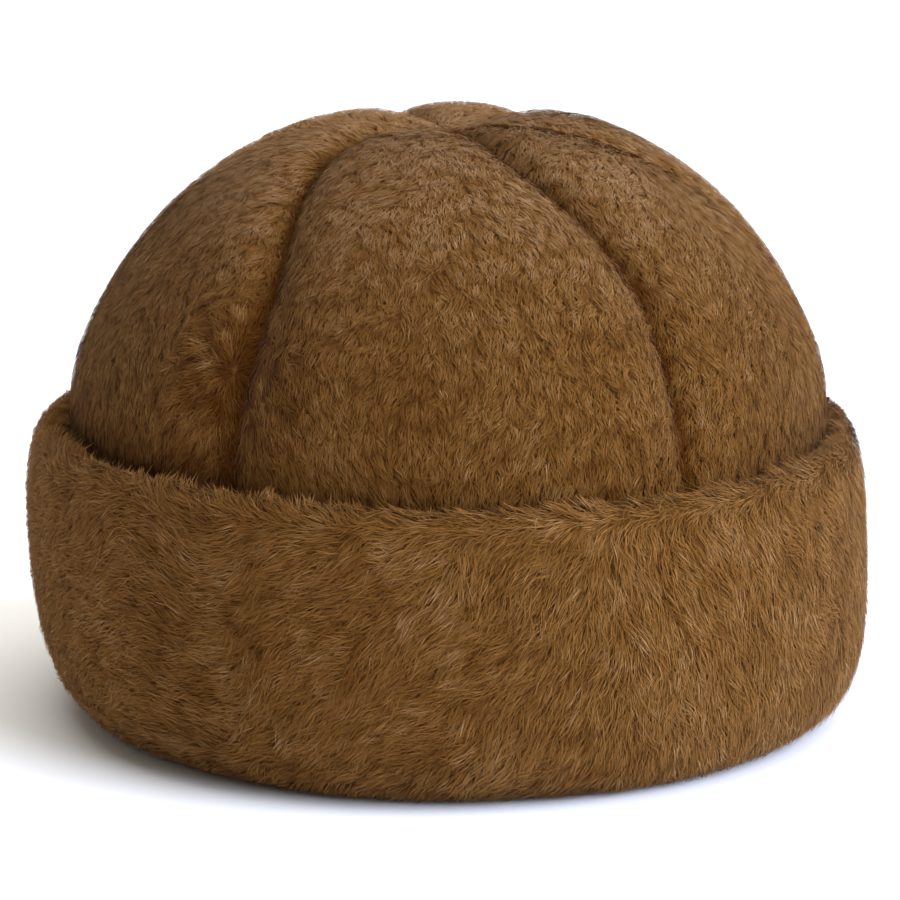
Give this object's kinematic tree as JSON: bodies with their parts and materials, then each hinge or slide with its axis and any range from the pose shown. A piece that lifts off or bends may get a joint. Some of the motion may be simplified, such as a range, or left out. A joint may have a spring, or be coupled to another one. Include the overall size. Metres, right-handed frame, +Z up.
{
  "type": "faux fur cuffed beanie",
  "caption": "Domed faux fur beanie of sewn gores with a deep turned-up fur cuff, open below to take a head.",
  "frame": {"origin": "middle of the hat on the surface that it stands on, under the fold of the cuff", "axes": "+Z up through the crown, -Y to the front of the hat, +X to its right as seen from the front"},
  "size_m": [0.2051, 0.2293, 0.1441],
  "materials": {
    "crown_fur": "brown long-pile faux fur cloth, soft and matt with a faint sheen",
    "cuff_fur": "brown long-pile faux fur cloth, brushed in loose locks"
  },
  "bodies": {
    "root": {"gore_front": "crown_fur", "gore_front_right": "crown_fur", "gore_back_right": "crown_fur", "gore_back": "crown_fur", "gore_back_left": "crown_fur", "gore_front_left": "crown_fur", "cuff_band": "cuff_fur"}
  },
  "joints": []
}
